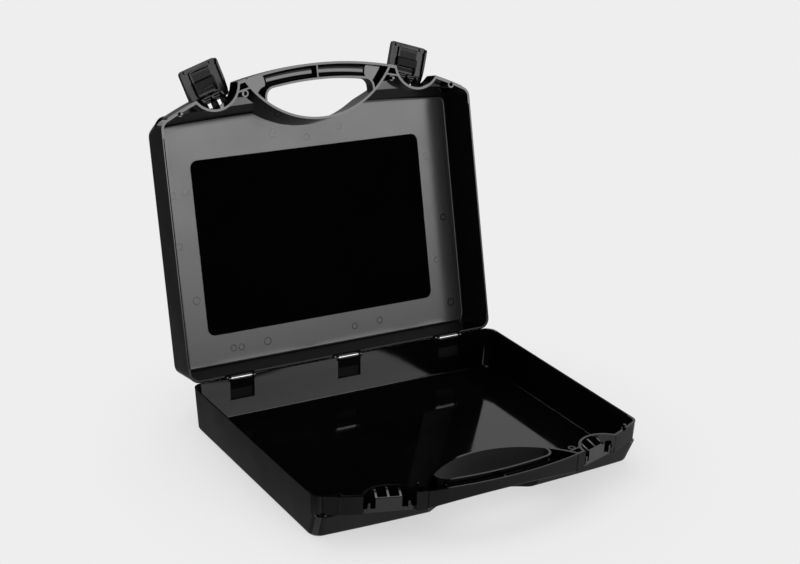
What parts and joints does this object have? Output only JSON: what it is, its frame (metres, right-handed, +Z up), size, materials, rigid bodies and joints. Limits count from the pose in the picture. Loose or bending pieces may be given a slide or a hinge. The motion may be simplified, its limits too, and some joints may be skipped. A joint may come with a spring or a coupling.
{
  "type": "laptop hard case",
  "caption": "Open moulded hard case for a laptop: base and hinged lid with bowed fronts, a split handle, snap latches that pivot on the lid and a matt inlay panel.",
  "frame": {"origin": "middle of the base's flat underside, level with what the case stands on", "axes": "+X to the right along the hinge, +Y from the handle to the hinge side, +Z up; the lid stands open by 105 degrees"},
  "size_m": [0.385, 0.4519, 0.3734],
  "materials": {
    "shell": "black polypropylene, satin inside and finely grained outside",
    "inlay": "deep matt black sheet",
    "latch": "satin black plastic",
    "pin": "bright drawn steel"
  },
  "bodies": {
    "base": {"base_shell": "shell", "hinge_pin_left": "pin", "hinge_pin_centre": "pin", "hinge_pin_right": "pin"},
    "lid": {"lid_shell": "shell", "lid_inlay_panel": "inlay"},
    "latch_left": {"latch_left": "latch"},
    "latch_right": {"latch_right": "latch"}
  },
  "joints": [
    {"name": "lid_hinge", "type": "hinge", "parent": "base", "child": "lid", "pos_m": [0, 0.1417, 0.047], "axis": [1, 0, 0], "range_deg": [0, 105]},
    {"name": "latch_left_pivot", "type": "hinge", "parent": "lid", "child": "latch_left", "pos_m": [-0.12197, 0.24204, 0.33339], "axis": [0.9546, 0.0771, 0.2879], "range_deg": [0, 90]},
    {"name": "latch_right_pivot", "type": "hinge", "parent": "lid", "child": "latch_right", "pos_m": [0.12197, 0.24204, 0.33339], "axis": [0.9546, -0.0771, -0.2879], "range_deg": [0, 90]}
  ]
}
